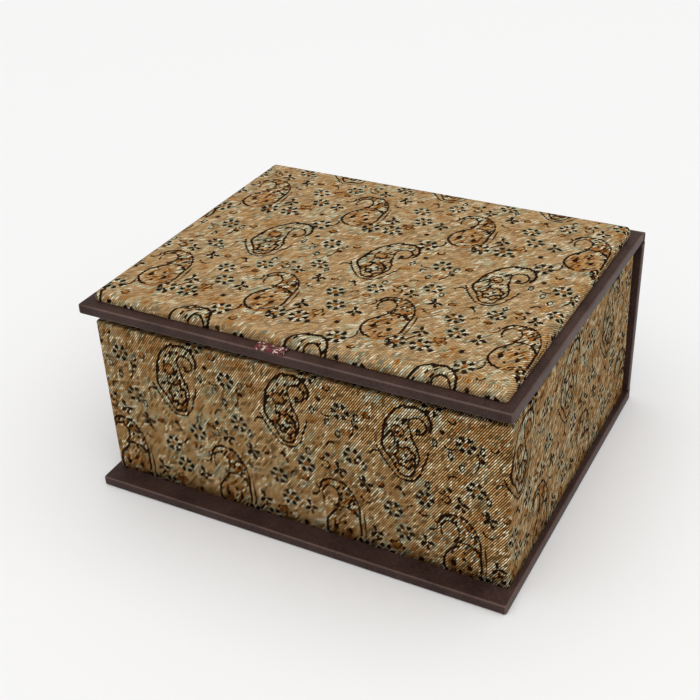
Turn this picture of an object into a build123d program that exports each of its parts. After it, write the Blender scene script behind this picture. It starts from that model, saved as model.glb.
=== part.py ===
from build123d import *
import math
import os

os.makedirs("parts", exist_ok=True)

# Brocade-covered keepsake box of the book-case kind, in millimetres.
# Three boards, the base, the spine and the lid, share one leatherette cover that folds
# along two lines at the back. A lined tray is glued to the base, and a padded panel to the lid.
# Origin: the middle of the base's underside. +X is right, -Y is the front, +Z is up.

# Wrapped boards of the case
case_width = 180.0
case_depth = 150.0
board_thickness = 3.0
leatherette = 0.6
turn_in = 14.0
cover_edge_radius = 0.8
cover_corner_radius = 1.1
mitre_seam_width = 0.25
mitre_seam_depth = 0.3
mitre_seam_inset = 1.6
fold_gap = 1.0

# How the closed case stands: the spine leans back and the lid rests on the tray's back rim
spine_back_shift = 4.5
lid_back_height = 80.6
lid_tilt = 2.0
spine_side_shift = -0.5
lid_side_shift = -1.0

# Spine
spine_board_thickness = 2.2
spine_lining_thickness = 0.5
spine_turn_in = 10.0
spine_end_radius = 0.55
fold_strip_height = 4.7
fold_strip_end = 0.3

# Tray
tray_front_margin = 8.9
tray_side_margin = 2.6
tray_back_gap = 0.7
tray_rim_height = 76.5
tray_wall = 3.0
tray_floor_thickness = 2.0
brocade = 0.5
brocade_turn_in = 12.0
tray_corner_radius = 1.4
tray_rim_radius = 0.45
lining = 0.5
lining_height = 68.0
floor_pad_height = 3.0
floor_pad_crown = 0.5
floor_pad_clearance = 0.4
floor_pad_edge = 1.6
floor_pad_corner = 2.4

# Lid lining, a satin-covered card that drops into the tray
satin = 0.4
lid_card_thickness = 1.2
lid_card_width = 161.0
lid_card_back = 16.0
lid_card_front = 137.0
lid_card_corner = 2.0

# Padded panel on the lid
pad_left_margin = 4.5
pad_right_margin = 4.2
pad_front_margin = 5.0
pad_back_margin = 6.0
pad_height = 5.1
pad_crown = 0.6
pad_edge_radius = 3.0
pad_corner_radius = 3.6
pad_card_thickness = 1.0
pad_turn_under = 12.0

# Pull tab, a loop of ribbon glued under the padded panel's front edge
tab_width = 12.0
tab_centre = -3.5
tab_tail_end = 138.0
tab_tail_thickness = 0.45
tab_step_start = 144.9
tab_loop_start = 146.2
tab_loop_thickness = 1.1
tab_tip = 151.0

# Sizes that follow
wrapped_thickness = board_thickness + 2 * leatherette
half_width = case_width / 2
back_fold = case_depth / 2
spine_thickness = leatherette + spine_board_thickness + spine_lining_thickness
spine_length = math.hypot(spine_back_shift, lid_back_height)
tray_width = case_width - 2 * tray_side_margin
tray_front = -case_depth / 2 + tray_front_margin
tray_back = back_fold - spine_thickness - tray_back_gap
tray_depth = tray_back - tray_front
tray_middle = (tray_front + tray_back) / 2
wall_width = tray_width - 2 * brocade
wall_depth = tray_depth - 2 * brocade
wall_top = tray_rim_height - brocade
inner_width = wall_width - 2 * tray_wall
inner_depth = wall_depth - 2 * tray_wall
floor_top = wrapped_thickness + tray_floor_thickness
turn_in_bottom = tray_rim_height - brocade_turn_in
lid_tilt_angle = math.radians(lid_tilt)

# The spine stands on the lower fold line, and the lid hangs from the upper one.
# In both planes local +Y points out at the back, and local X is the case's own X.
base_plane = Plane.XY
tray_plane = Plane(origin=(0, tray_middle, 0))
spine_plane = Plane(
    origin=(spine_side_shift, back_fold, 0),
    x_dir=(1, 0, 0),
    z_dir=(0, spine_back_shift, lid_back_height),
)
lid_plane = Plane(
    origin=(lid_side_shift, back_fold + spine_back_shift, lid_back_height),
    x_dir=(1, 0, 0),
    z_dir=(0, math.sin(lid_tilt_angle), math.cos(lid_tilt_angle)),
)


def slab(plane, x_limits, y_limits, z_limits, corner=0.0):
    """A flat panel between limits given along a plane's own axes, with rounded upright corners."""
    size_x = x_limits[1] - x_limits[0]
    size_y = y_limits[1] - y_limits[0]
    with BuildPart() as panel:
        with BuildSketch(plane.offset(z_limits[0])):
            with Locations((sum(x_limits) / 2, sum(y_limits) / 2)):
                if corner > 0:
                    RectangleRounded(size_x, size_y, corner)
                else:
                    Rectangle(size_x, size_y)
        extrude(amount=z_limits[1] - z_limits[0])
    return panel.part


def middle_slab(plane, size_x, size_y, z_limits, corner=0.0):
    """A flat panel centred on a plane."""
    return slab(plane, (-size_x / 2, size_x / 2), (-size_y / 2, size_y / 2), z_limits, corner)


def crowned_bar(plane, half_run, height, crown, edge, half_length):
    """A bar whose section has an arched top that runs smoothly into a rolled edge at each side."""
    arch_radius = half_run**2 / (2 * crown)
    arch_centre_y = height - arch_radius
    roll_x = half_run - edge
    roll_y = arch_centre_y + math.sqrt((arch_radius - edge) ** 2 - roll_x**2)
    lean = math.atan2(roll_x, roll_y - arch_centre_y)
    join_x = arch_radius * math.sin(lean)
    join_y = arch_centre_y + arch_radius * math.cos(lean)
    half_turn = (math.pi / 2 - lean) / 2
    middle_x = roll_x + edge * math.cos(half_turn)
    middle_y = roll_y + edge * math.sin(half_turn)
    with BuildPart() as bar:
        with BuildSketch(plane):
            with BuildLine():
                ThreePointArc((-join_x, join_y), (0, height), (join_x, join_y))
                ThreePointArc((join_x, join_y), (middle_x, middle_y), (half_run, roll_y))
                Polyline((half_run, roll_y), (half_run, 0), (-half_run, 0), (-half_run, roll_y))
                ThreePointArc((-half_run, roll_y), (-middle_x, middle_y), (-join_x, join_y))
            make_face()
        extrude(amount=half_length, both=True)
    return bar.part


def crowned_slab(plane, x_limits, y_limits, z_limits, crown, corner, edge):
    """A padded panel: a flat bottom, a top that rises in the middle, and rolled upper edges."""
    size_x = x_limits[1] - x_limits[0]
    size_y = y_limits[1] - y_limits[0]
    height = z_limits[1] - z_limits[0]
    crown_y = crown * (size_y / size_x) ** 2
    middle = plane.from_local_coords((sum(x_limits) / 2, sum(y_limits) / 2, z_limits[0]))
    across = Plane(origin=middle, x_dir=plane.x_dir, z_dir=plane.y_dir * -1)
    along = Plane(origin=middle, x_dir=plane.y_dir, z_dir=plane.x_dir)
    with BuildPart() as pad:
        add(slab(plane, x_limits, y_limits, z_limits, corner))
        add(crowned_bar(across, size_x / 2, height, crown, edge, size_y), mode=Mode.INTERSECT)
        add(crowned_bar(along, size_y / 2, height, crown_y, edge, size_x), mode=Mode.INTERSECT)
    return pad.part


def wrapped_cover(plane, y_limits, z_low, faces_up):
    """Leatherette round a board: one whole face, four edges, and turn-ins on the other face."""
    z_high = z_low + wrapped_thickness
    up = Axis(plane.origin, plane.z_dir)
    skin_x = (-half_width + leatherette, half_width - leatherette)
    skin_y = (y_limits[0] + leatherette, y_limits[1] - leatherette)
    field_x = (-half_width + turn_in, half_width - turn_in)
    field_y = (y_limits[0] + turn_in, y_limits[1] - turn_in)
    field_z = (z_high - leatherette, z_high) if faces_up else (z_low, z_low + leatherette)
    seam_z = z_high if faces_up else z_low
    seam_run = (turn_in - 2 * mitre_seam_inset) * math.sqrt(2)
    with BuildPart() as cover:
        add(slab(plane, (-half_width, half_width), y_limits, (z_low, z_high)))
        fillet(cover.edges().filter_by(up), cover_corner_radius)
        fillet(cover.faces().filter_by(up).edges(), cover_edge_radius)
        add(slab(plane, skin_x, skin_y, (z_low + leatherette, z_high - leatherette)), mode=Mode.SUBTRACT)
        add(slab(plane, field_x, field_y, field_z), mode=Mode.SUBTRACT)
        for side in (-1, 1):
            for edge_y, inward in ((y_limits[0], 1), (y_limits[1], -1)):
                with BuildSketch(plane.offset(seam_z - mitre_seam_depth)):
                    with Locations((side * (half_width - turn_in / 2), edge_y + inward * turn_in / 2)):
                        Rectangle(seam_run, mitre_seam_width, rotation=-45 * side * inward)
                extrude(amount=2 * mitre_seam_depth, mode=Mode.SUBTRACT)
    return cover.part


def ring(plane, outer, inner, z_limits, outer_corner=0.0, inner_corner=0.0):
    """A rectangular band between an outer and an inner size, both given as (x, y)."""
    with BuildPart() as band:
        add(middle_slab(plane, outer[0], outer[1], z_limits, outer_corner))
        add(middle_slab(plane, inner[0], inner[1], z_limits, inner_corner), mode=Mode.SUBTRACT)
    return band.part


def write(piece, name):
    """Labels a finished piece and writes it to its own file."""
    piece.label = name
    export_step(piece, f"parts/{name}.step")


# Base: greyboard wrapped in leatherette, with the turn-ins on top, under the tray
base_back = back_fold - fold_gap
base_skin_x = half_width - leatherette
with BuildPart() as base_board:
    add(
        slab(
            base_plane,
            (-base_skin_x, base_skin_x),
            (-case_depth / 2 + leatherette, base_back - leatherette),
            (leatherette, leatherette + board_thickness),
        )
    )
write(base_board.part, "base_board")

with BuildPart() as base_cover:
    add(wrapped_cover(base_plane, (-case_depth / 2, base_back), 0, faces_up=True))
write(base_cover.part, "base_cover")

# Tray: a floor and four butt-jointed walls of greyboard
with BuildPart() as tray_floor_board:
    add(middle_slab(tray_plane, inner_width, inner_depth, (wrapped_thickness, floor_top)))
write(tray_floor_board.part, "tray_floor_board")

for side, name in ((-1, "tray_front_wall"), (1, "tray_back_wall")):
    wall_outside = side * wall_depth / 2
    wall_inside = side * inner_depth / 2
    with BuildPart() as long_wall:
        add(
            slab(
                tray_plane,
                (-wall_width / 2, wall_width / 2),
                (min(wall_outside, wall_inside), max(wall_outside, wall_inside)),
                (wrapped_thickness, wall_top),
            )
        )
        outside_corners = long_wall.faces().filter_by(Axis.Y).sort_by(Axis.Y)[0 if side < 0 else -1]
        fillet(outside_corners.edges().filter_by(Axis.Z), tray_corner_radius - brocade)
    write(long_wall.part, name)

for side, name in ((-1, "tray_left_wall"), (1, "tray_right_wall")):
    wall_outside = side * wall_width / 2
    wall_inside = side * inner_width / 2
    with BuildPart() as short_wall:
        add(
            slab(
                tray_plane,
                (min(wall_outside, wall_inside), max(wall_outside, wall_inside)),
                (-inner_depth / 2, inner_depth / 2),
                (wrapped_thickness, wall_top),
            )
        )
    write(short_wall.part, name)

# Brocade round the tray: up the outside, over the rim and a short way down the inside
turn_size = (inner_width - 2 * brocade, inner_depth - 2 * brocade)
with BuildPart() as tray_brocade:
    add(
        ring(
            tray_plane,
            (tray_width, tray_depth),
            (wall_width, wall_depth),
            (wrapped_thickness, tray_rim_height),
            tray_corner_radius,
            tray_corner_radius - brocade,
        )
    )
    add(
        ring(
            tray_plane,
            (tray_width, tray_depth),
            turn_size,
            (wall_top, tray_rim_height),
            tray_corner_radius,
        )
    )
    add(ring(tray_plane, (inner_width, inner_depth), turn_size, (turn_in_bottom, tray_rim_height)))
    fillet(tray_brocade.faces().sort_by(Axis.Z)[-1].edges(), tray_rim_radius)
write(tray_brocade.part, "tray_brocade")

# Satin lining round the inside of the walls, over the brocade's raw edge
lining_size = (turn_size[0] - 2 * lining, turn_size[1] - 2 * lining)
with BuildPart() as tray_wall_lining:
    add(ring(tray_plane, (inner_width, inner_depth), turn_size, (floor_top, turn_in_bottom)))
    add(ring(tray_plane, turn_size, lining_size, (floor_top, lining_height)))
write(tray_wall_lining.part, "tray_wall_lining")

# Padded satin panel on the tray's floor
floor_pad_x = lining_size[0] / 2 - floor_pad_clearance
floor_pad_y = lining_size[1] / 2 - floor_pad_clearance
with BuildPart() as tray_floor_pad:
    add(
        crowned_slab(
            tray_plane,
            (-floor_pad_x, floor_pad_x),
            (-floor_pad_y, floor_pad_y),
            (floor_top, floor_top + floor_pad_height),
            floor_pad_crown,
            floor_pad_corner,
            floor_pad_edge,
        )
    )
write(tray_floor_pad.part, "tray_floor_pad")

# Spine: a board between two stretches of cover that fold, with a lining on its inner face
spine_low = fold_strip_height
spine_high = spine_length - fold_strip_height
spine_skin_x = half_width - leatherette
spine_z = (spine_low, spine_high)
spine_board_x = (-spine_skin_x, spine_skin_x)
spine_board_y = (-spine_thickness + spine_lining_thickness, -leatherette)
spine_lining_x = (-half_width + spine_turn_in, half_width - spine_turn_in)
spine_lining_y = (-spine_thickness, -spine_thickness + spine_lining_thickness)
with BuildPart() as spine_board:
    add(slab(spine_plane, spine_board_x, spine_board_y, spine_z))
write(spine_board.part, "spine_board")

with BuildPart() as spine_cover:
    add(slab(spine_plane, (-half_width, half_width), (-spine_thickness, 0), spine_z))
    fillet(spine_cover.edges().filter_by(Axis(spine_plane.origin, spine_plane.z_dir)), spine_end_radius)
    add(slab(spine_plane, spine_board_x, spine_board_y, spine_z), mode=Mode.SUBTRACT)
    add(slab(spine_plane, spine_lining_x, spine_lining_y, spine_z), mode=Mode.SUBTRACT)
write(spine_cover.part, "spine_cover")

with BuildPart() as spine_lining:
    add(slab(spine_plane, spine_lining_x, spine_lining_y, spine_z))
write(spine_lining.part, "spine_lining")

# Folding stretches of the cover, one each side of the spine
fold_strips = {
    "lower_fold_strip": (fold_strip_end, spine_low),
    "upper_fold_strip": (spine_high, spine_length - fold_strip_end),
}
for name, z_limits in fold_strips.items():
    with BuildPart() as fold_strip:
        add(slab(spine_plane, (-half_width, half_width), (-leatherette, 0), z_limits))
    write(fold_strip.part, name)

# Lid: a board wrapped like the base, with the turn-ins underneath
lid_back = -fold_gap
with BuildPart() as lid_board:
    add(
        slab(
            lid_plane,
            (-base_skin_x, base_skin_x),
            (-case_depth + leatherette, lid_back - leatherette),
            (-leatherette - board_thickness, -leatherette),
        )
    )
write(lid_board.part, "lid_board")

with BuildPart() as lid_cover:
    add(wrapped_cover(lid_plane, (-case_depth, lid_back), -wrapped_thickness, faces_up=False))
write(lid_cover.part, "lid_cover")

# Lid lining: a thin card, and the satin that covers its face and edges
card_x = (-lid_card_width / 2, lid_card_width / 2)
card_y = (-lid_card_front, -lid_card_back)
card_z = (-wrapped_thickness - lid_card_thickness, -wrapped_thickness)
with BuildPart() as lid_lining_card:
    add(slab(lid_plane, card_x, card_y, card_z, lid_card_corner))
write(lid_lining_card.part, "lid_lining_card")

with BuildPart() as lid_lining_satin:
    add(
        slab(
            lid_plane,
            (card_x[0] - satin, card_x[1] + satin),
            (card_y[0] - satin, card_y[1] + satin),
            (card_z[0] - satin, card_z[1]),
            lid_card_corner + satin,
        )
    )
    lower_face = lid_lining_satin.faces().sort_by(Axis(lid_plane.origin, lid_plane.z_dir))[0]
    fillet(lower_face.edges(), satin)
    add(slab(lid_plane, card_x, card_y, card_z, lid_card_corner), mode=Mode.SUBTRACT)
write(lid_lining_satin.part, "lid_lining_satin")

# Padded panel on the lid: card, foam and brocade drawn over both and turned under the card
pad_x = (-half_width + pad_left_margin, half_width - pad_right_margin)
pad_y = (-case_depth + pad_front_margin, -pad_back_margin)
inside_x = (pad_x[0] + brocade, pad_x[1] - brocade)
inside_y = (pad_y[0] + brocade, pad_y[1] - brocade)
under_x = (pad_x[0] + pad_turn_under, pad_x[1] - pad_turn_under)
under_y = (pad_y[0] + pad_turn_under, pad_y[1] - pad_turn_under)
card_top = brocade + pad_card_thickness
foam_corner = pad_corner_radius - brocade
foam_edge = pad_edge_radius - 2 * brocade
tail_x = (tab_centre - tab_width / 2, tab_centre + tab_width / 2)
tail_pocket = slab(lid_plane, tail_x, (-tab_loop_start, -tab_tail_end), (0, brocade))

with BuildPart() as pad_card:
    add(slab(lid_plane, inside_x, inside_y, (brocade, card_top), foam_corner))
write(pad_card.part, "pad_card")

with BuildPart() as pad_foam:
    add(
        crowned_slab(
            lid_plane,
            inside_x,
            inside_y,
            (card_top, pad_height - brocade),
            pad_crown,
            foam_corner,
            foam_edge,
        )
    )
write(pad_foam.part, "pad_foam")

with BuildPart() as pad_brocade:
    add(
        crowned_slab(
            lid_plane,
            pad_x,
            pad_y,
            (0, pad_height),
            pad_crown,
            pad_corner_radius,
            pad_edge_radius,
        )
    )
    add(slab(lid_plane, inside_x, inside_y, (brocade, card_top), foam_corner), mode=Mode.SUBTRACT)
    add(pad_foam.part, mode=Mode.SUBTRACT)
    add(slab(lid_plane, under_x, under_y, (0, brocade)), mode=Mode.SUBTRACT)
    add(tail_pocket, mode=Mode.SUBTRACT)
write(pad_brocade.part, "pad_brocade")

# Pull tab: a flat tail under the padded panel and a doubled loop over the lid's front margin
tab_side = Plane(
    origin=lid_plane.from_local_coords((tail_x[0], 0, 0)),
    x_dir=lid_plane.y_dir * -1,
    z_dir=(-1, 0, 0),
)
loop_middle = tab_loop_thickness / 2
tip_start = tab_tip - loop_middle
with BuildPart() as pull_tab:
    with BuildSketch(tab_side):
        with BuildLine():
            Polyline(
                (tip_start, tab_loop_thickness),
                (tab_loop_start, tab_loop_thickness),
                (tab_step_start, tab_tail_thickness),
                (tab_tail_end, tab_tail_thickness),
                (tab_tail_end, 0),
                (tip_start, 0),
            )
            ThreePointArc((tip_start, 0), (tab_tip, loop_middle), (tip_start, tab_loop_thickness))
        make_face()
    extrude(amount=-tab_width)
write(pull_tab.part, "pull_tab")
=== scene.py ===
"""Looks of a brocade-covered keepsake box: a book-style case round a lined tray.

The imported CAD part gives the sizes, and Sizes repeats those that no node's box holds. This file
dresses it: paisley brocade over the tray and over the padded panel on the lid, satin linings,
dark leatherette on the case, and the two stretches of leatherette that fold beside the spine.
Lengths are in millimetres until a mesh is made.
"""

import logging
import math
from collections.abc import Iterable
from dataclasses import dataclass, field
from enum import Enum
from functools import reduce

import bmesh
import bpy
import numpy as np
from mathutils import Matrix, Vector


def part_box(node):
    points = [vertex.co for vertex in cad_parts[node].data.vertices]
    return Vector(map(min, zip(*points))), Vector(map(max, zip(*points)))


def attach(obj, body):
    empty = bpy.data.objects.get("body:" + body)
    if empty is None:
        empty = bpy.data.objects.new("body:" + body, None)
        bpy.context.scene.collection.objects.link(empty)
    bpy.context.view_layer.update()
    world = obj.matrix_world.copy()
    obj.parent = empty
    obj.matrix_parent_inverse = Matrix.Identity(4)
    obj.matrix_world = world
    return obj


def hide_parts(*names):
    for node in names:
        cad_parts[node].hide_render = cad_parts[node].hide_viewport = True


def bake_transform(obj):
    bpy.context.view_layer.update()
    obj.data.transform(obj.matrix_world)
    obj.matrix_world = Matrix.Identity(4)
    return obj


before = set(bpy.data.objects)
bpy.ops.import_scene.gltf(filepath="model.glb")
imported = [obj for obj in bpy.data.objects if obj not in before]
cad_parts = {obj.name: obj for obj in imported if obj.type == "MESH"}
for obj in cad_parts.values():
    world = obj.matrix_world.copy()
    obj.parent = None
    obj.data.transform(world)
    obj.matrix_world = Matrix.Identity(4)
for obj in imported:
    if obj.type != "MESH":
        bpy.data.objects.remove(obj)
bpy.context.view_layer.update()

log = logging.getLogger("keepsake_box")

MM = 0.001
Socket = bpy.types.NodeSocket
Tree = bpy.types.ShaderNodeTree
Material = bpy.types.Material
Spots = tuple[tuple[float, ...], ...]
Shades = tuple[tuple[float, str], ...]


def linear(hex_colour: str) -> tuple[float, float, float, float]:
    """Turns an sRGB hex value into linear red, green, blue and alpha.

    Args:
        hex_colour: six hex digits after a hash, as a designer writes a colour.

    Returns:
        Four numbers from 0 to 1. Each channel c is c / 12.92 where it is dark, and
        ((c + 0.055) / 1.055) to the power 2.4 elsewhere.
    """
    channels = [int(hex_colour[i : i + 2], 16) / 255 for i in (1, 3, 5)]
    red, green, blue = (c / 12.92 if c <= 0.04045 else ((c + 0.055) / 1.055) ** 2.4 for c in channels)
    return (red, green, blue, 1.0)


def node(kind: str, *inputs: object, tree: Tree | None = None, **settings: object) -> Socket:
    """Adds a shader node, sets its properties, and links or fills its inputs in order.

    Args:
        kind: the node's type without its ShaderNode prefix, with its operation after a dot.
        inputs: a socket to link, a value or hex colour to set, or None to leave that input alone.
        tree: the material's node tree, or None for that of the first socket given.
        settings: properties of the node, by name.

    Returns:
        The node's first output.
    """
    if tree is None:
        tree = next(given.id_data for given in inputs if isinstance(given, Socket))
    kind, _, operation = kind.partition(".")
    made = tree.nodes.new("ShaderNode" + kind)
    if operation:
        made.operation = operation
    for name, value in settings.items():
        setattr(made, name, value)
    for socket, given in zip(made.inputs, inputs):
        if isinstance(given, Socket):
            tree.links.new(given, socket)
        elif given is not None:
            socket.default_value = linear(given) if isinstance(given, str) else given
    return made.outputs[0]


def yarns(pick: Socket, shades: Shades) -> Socket:
    """Gives each thread one of several yarn colours, by a number drawn for that thread.

    Args:
        pick: a number from 0 to 1 for the thread.
        shades: the number from which each colour holds, and the colour.

    Returns:
        The thread's colour.
    """
    colour = node("ValToRGB", pick)
    ramp = colour.node.color_ramp
    ramp.interpolation = "CONSTANT"
    for index, (start, shade) in enumerate(shades):
        stop = ramp.elements[index] if index < 2 else ramp.elements.new(start)
        stop.position = start
        stop.color = linear(shade)
    return colour


def principled(colour: Socket | str, bump: Socket | None, tree: Tree | None = None, **fixed: float) -> None:
    """Ends a material with a Principled shader whose uniform values sit on its own sockets.

    Args:
        colour: the base colour, linked or as hex.
        bump: the normal, or None for a smooth face.
        tree: the node tree, where the colour isn't linked.
        fixed: the shader's other values, by socket name with underscores.
    """
    shader = node("BsdfPrincipled", colour, tree=tree).node
    for name, value in fixed.items():
        shader.inputs[name.replace("_", " ")].default_value = value
    if bump is not None:
        shader.id_data.links.new(bump, shader.inputs["Normal"])
    output = shader.id_data.nodes.new("ShaderNodeOutputMaterial")
    shader.id_data.links.new(shader.outputs[0], output.inputs[0])


def new_material(name: str) -> tuple[Material, Tree]:
    """Starts an empty node material.

    Args:
        name: the material's name.

    Returns:
        The material and its node tree.
    """
    material = bpy.data.materials.new(name)
    material.use_nodes = True
    material.node_tree.nodes.clear()
    return material, material.node_tree


def below(value: Socket, edge: float, soft: float = 0.25) -> Socket:
    """1 where the value is under the edge, 0 over it, with a short slope between."""
    return node("Math.MULTIPLY_ADD", value, -1 / soft, edge / soft + 0.5, use_clamp=True)


def line(value: Socket, centre: Socket | float, half: float) -> Socket:
    """A drawn line: 1 where the value is within half of the centre."""
    return below(node("Math.ABSOLUTE", node("Math.SUBTRACT", value, centre)), half)


def both(*masks: Socket) -> Socket:
    """Where all masks hold: their product."""
    return reduce(lambda one, other: node("Math.MULTIPLY", one, other), masks)


def gathered(masks: Iterable[Socket]) -> Socket:
    """Where any of the masks holds. Each is made just before it joins, so few wait unused."""
    return reduce(lambda one, other: node("Math.MAXIMUM", one, other), masks)


def either(*masks: Socket) -> Socket:
    """Where any mask holds: their greatest."""
    return gathered(masks)


def outside(mask: Socket) -> Socket:
    """Where the mask doesn't hold."""
    return node("Math.SUBTRACT", 1.0, mask)


@dataclass(frozen=True)
class Repeat:
    """The brocade's repeat, in millimetres."""

    across: float = 49.2
    up: float = 78.6

    def near(self, place: Socket, x: float, y: float) -> Socket:
        """Position from the nearest copy of a motif, wrapped to half a repeat each way.

        Args:
            place: the point on the cloth, in millimetres.
            x: the motif's middle across the repeat.
            y: the motif's middle up the repeat.

        Returns:
            The point counted from that middle.
        """
        moved = node("VectorMath.SUBTRACT", place, (x, y, 0))
        high = (self.across / 2, self.up / 2, 1)
        return node("VectorMath.WRAP", moved, high, (-high[0], -high[1], -1))

    def nearest(self, place: Socket, spots: Spots) -> Socket:
        """Position from whichever of several copies of a small motif lies closest.

        Args:
            place: the point on the cloth, in millimetres.
            spots: the copies' middles in the repeat.

        Returns:
            The point counted from the closest middle, kept as the shorter of two at a time.
        """
        closest = self.near(place, *spots[0])
        for x, y in spots[1:]:
            other = self.near(place, x, y)
            here = node("VectorMath.LENGTH", closest).node.outputs[1]
            there = node("VectorMath.LENGTH", other).node.outputs[1]
            closer = node("Math.LESS_THAN", there, here)
            mixed = node("Mix", closer, None, None, None, closest, other, data_type="VECTOR")
            closest = mixed.node.outputs[1]
        return closest


@dataclass
class Polar:
    """A motif's own radius and angle, in millimetres and degrees."""

    radius: Socket
    angle: Socket

    @classmethod
    def about(cls, place: Socket, x: float = 0, y: float = 0, squeeze: float = 1) -> "Polar":
        """Radius and angle about a point.

        Args:
            place: the point, in the motif's millimetres.
            x: the centre across.
            y: the centre up.
            squeeze: what distance across the motif is divided by, which makes discs ovals.

        Returns:
            The length of the way from the centre, and its arctangent in degrees.
        """
        if x or y:
            place = node("VectorMath.SUBTRACT", place, (x, y, 0))
        if squeeze != 1:
            place = node("VectorMath.MULTIPLY", place, (1 / squeeze, 1, 1))
        parts = node("SeparateXYZ", place).node.outputs
        angle = node("Math.ARCTAN2", parts[1], parts[0])
        radius = node("VectorMath.LENGTH", place).node.outputs[1]
        return cls(radius, node("Math.MULTIPLY", angle, 180 / math.pi))

    def outline(self, points: Spots, reach: float) -> Socket:
        """The radius of a drawn outline at this angle.

        Args:
            points: (angle, radius) pairs that a smooth curve runs through.
            reach: the radius that the curve's full height stands for.

        Returns:
            The outline's radius. The angle is turned into a share of a whole turn first.
        """
        turn = node("Math.MULTIPLY_ADD", self.angle, 1 / 360, 0.5)
        curve = node("FloatCurve", 1.0, turn)
        stops = curve.node.mapping.curves[0].points
        for index, (angle, radius) in enumerate(points):
            place = (angle / 360 + 0.5, radius / reach)
            if index < 2:
                stops[index].location = place
            else:
                stops.new(*place)
        curve.node.mapping.update()
        return node("Math.MULTIPLY", curve, reach)

    def sector(self, start: float, end: float) -> Socket:
        """1 between two angles, in degrees counter-clockwise from +X."""
        return node("Math.COMPARE", self.angle, (start + end) / 2, (end - start) / 2)

    def arc(self, radius: Socket | float, half: float, start: float, end: float) -> Socket:
        """A line along a radius, between two angles."""
        return both(line(self.radius, radius, half), self.sector(start, end))

    def waves(
        self, count: int, height: float, base: Socket | float, start: float = 0, **settings: bool
    ) -> Socket:
        """Petals and lobes: height times the cosine of start + count angles, plus the base."""
        turn = node("Math.MULTIPLY_ADD", self.angle, count * math.pi / 180, start)
        return node("Math.MULTIPLY_ADD", node("Math.COSINE", turn), height, base, **settings)


def blobs(place: Socket, spots: Spots, squeeze: float = 1) -> Socket:
    """Small discs or ovals at (x, y, radius), drawn together."""
    return gathered(below(Polar.about(place, x, y, squeeze).radius, size) for x, y, size in spots)


# The drops' outlines, as (angle in degrees, radius in millimetres) round their middles.
TALL_BODY = (
    (-180, 8.0), (-147, 9.4), (-123, 10.0), (-104, 13.0), (-90, 15.2), (-67, 11.4), (-45, 8.6), (-18, 5.9),
    (15, 4.3), (45, 4.8), (66, 7.0), (74, 9.0), (82, 16.4), (95, 15.0), (112, 12.4), (138, 9.6), (165, 8.2),
    (180, 8.0),
)
TALL_LEAF = (
    (-180, 12), (-157, 11.7), (-140, 12.1), (-111, 14.6), (-90, 17.1), (-69, 15.1), (-38, 10.8), (180, 9.7),
)
TALL_REACH = 20
ROUND_BODY = (
    (-180, 7.4), (-160, 8.5), (-133, 10.4), (-100, 10.8), (-60, 10.4), (-25, 8.6), (4, 7.6), (23, 8.1),
    (41, 9.9), (55, 12.3), (70, 15.9), (82, 18.9), (93, 20.9), (97, 20.0), (101, 10.6), (108, 8.0),
    (125, 6.4), (159, 6.4), (180, 7.4),
)
ROUND_REACH = 24

# Small discs inside the drops, as (x, y, radius) from the drop's middle.
CUP_DOTS = ((0.8, -5.6, 0.75), (-0.8, -8.0, 0.75), (2.3, -7.8, 0.75))
SEEDS = (
    (-4.0, -3.4, 1.6), (0.5, 0.0, 1.1), (2.9, -3.8, 1.4), (-4.8, 2.4, 0.8), (-1.0, -7.0, 0.8),
    (0.4, 3.4, 0.7), (0.8, 12.8, 0.7), (3.4, 12.2, 0.8), (5.4, 11.4, 0.7), (2.0, 15.2, 0.8), (4.2, 14.8, 0.7),
)
SHOULDERS = ((-5.0, 2.4, 1.9), (5.8, 2.4, 1.9))

# Middles of the small motifs in the repeat, as (x, y) from the tall drop's middle.
FLOWERS = (
    (24.0, 5.8), (-21.3, -12.9), (7.5, -23.2), (-5.7, -32.7), (-1.1, 36.3), (10.7, 18.2), (-9.4, 24.2),
    (-18.4, 23.0),
)
SPRIGS = ((7.6, 35.2), (-16.6, -24.0), (-13.2, 32.2), (21.8, -21.0))
ROSETTES = ((14.2, -17.2), (-14.6, 7.4), (-10.3, -22.3), (6.4, -30.0), (18.6, 15.0))
BERRIES = ((-18.8, 0.9), (15.1, 9.1), (17.5, -15.8), (5.5, 26.0), (2.0, -42.0), (-2.6, -21.4), (-4.6, 22.6))
BEADS = ((-18.8, 4.9), (12.3, 3.4), (22.6, -4.6), (-16.7, -16.4), (9.0, -16.6), (18.4, -0.4))

# Vines between them, as (x, y, radius, start angle, end angle).
VINES = (
    (19.8, -11.5, 2.4, 70, 180), (16.0, -20.6, 1.7, -180, 120), (2.8, -31.0, 2.8, 90, 180),
    (-28.0, 0.0, 8.0, -40, 25), (-24.0, -30.0, 9.0, 10, 60), (-10.0, 24.0, 5.5, 100, 170),
    (13.0, 21.5, 3.2, -60, 40), (9.5, -34.0, 2.6, -110, 60), (-11.0, -9.6, 2.6, 60, 180),
    (18.2, 4.6, 2.4, -160, -40), (-19.6, 19.0, 3.0, 0, 130), (8.6, 19.4, 2.4, 150, 180),
    (22.0, -31.0, 3.4, -30, 100), (-3.6, -24.6, 2.8, -10, 110), (-16.6, -30.6, 2.4, -180, -60),
)


@dataclass(frozen=True)
class Drawing:
    """Where a motif brings up each of its wefts: dark outlines, warm rust, pale mint."""

    dark: Socket
    warm: Socket
    pale: Socket


@dataclass(frozen=True)
class Chances:
    """Where a dash of another weft may show: pale (glint), rust (mottle) or dark (speck)."""

    glint: Socket
    mottle: Socket
    speck: Socket


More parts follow.
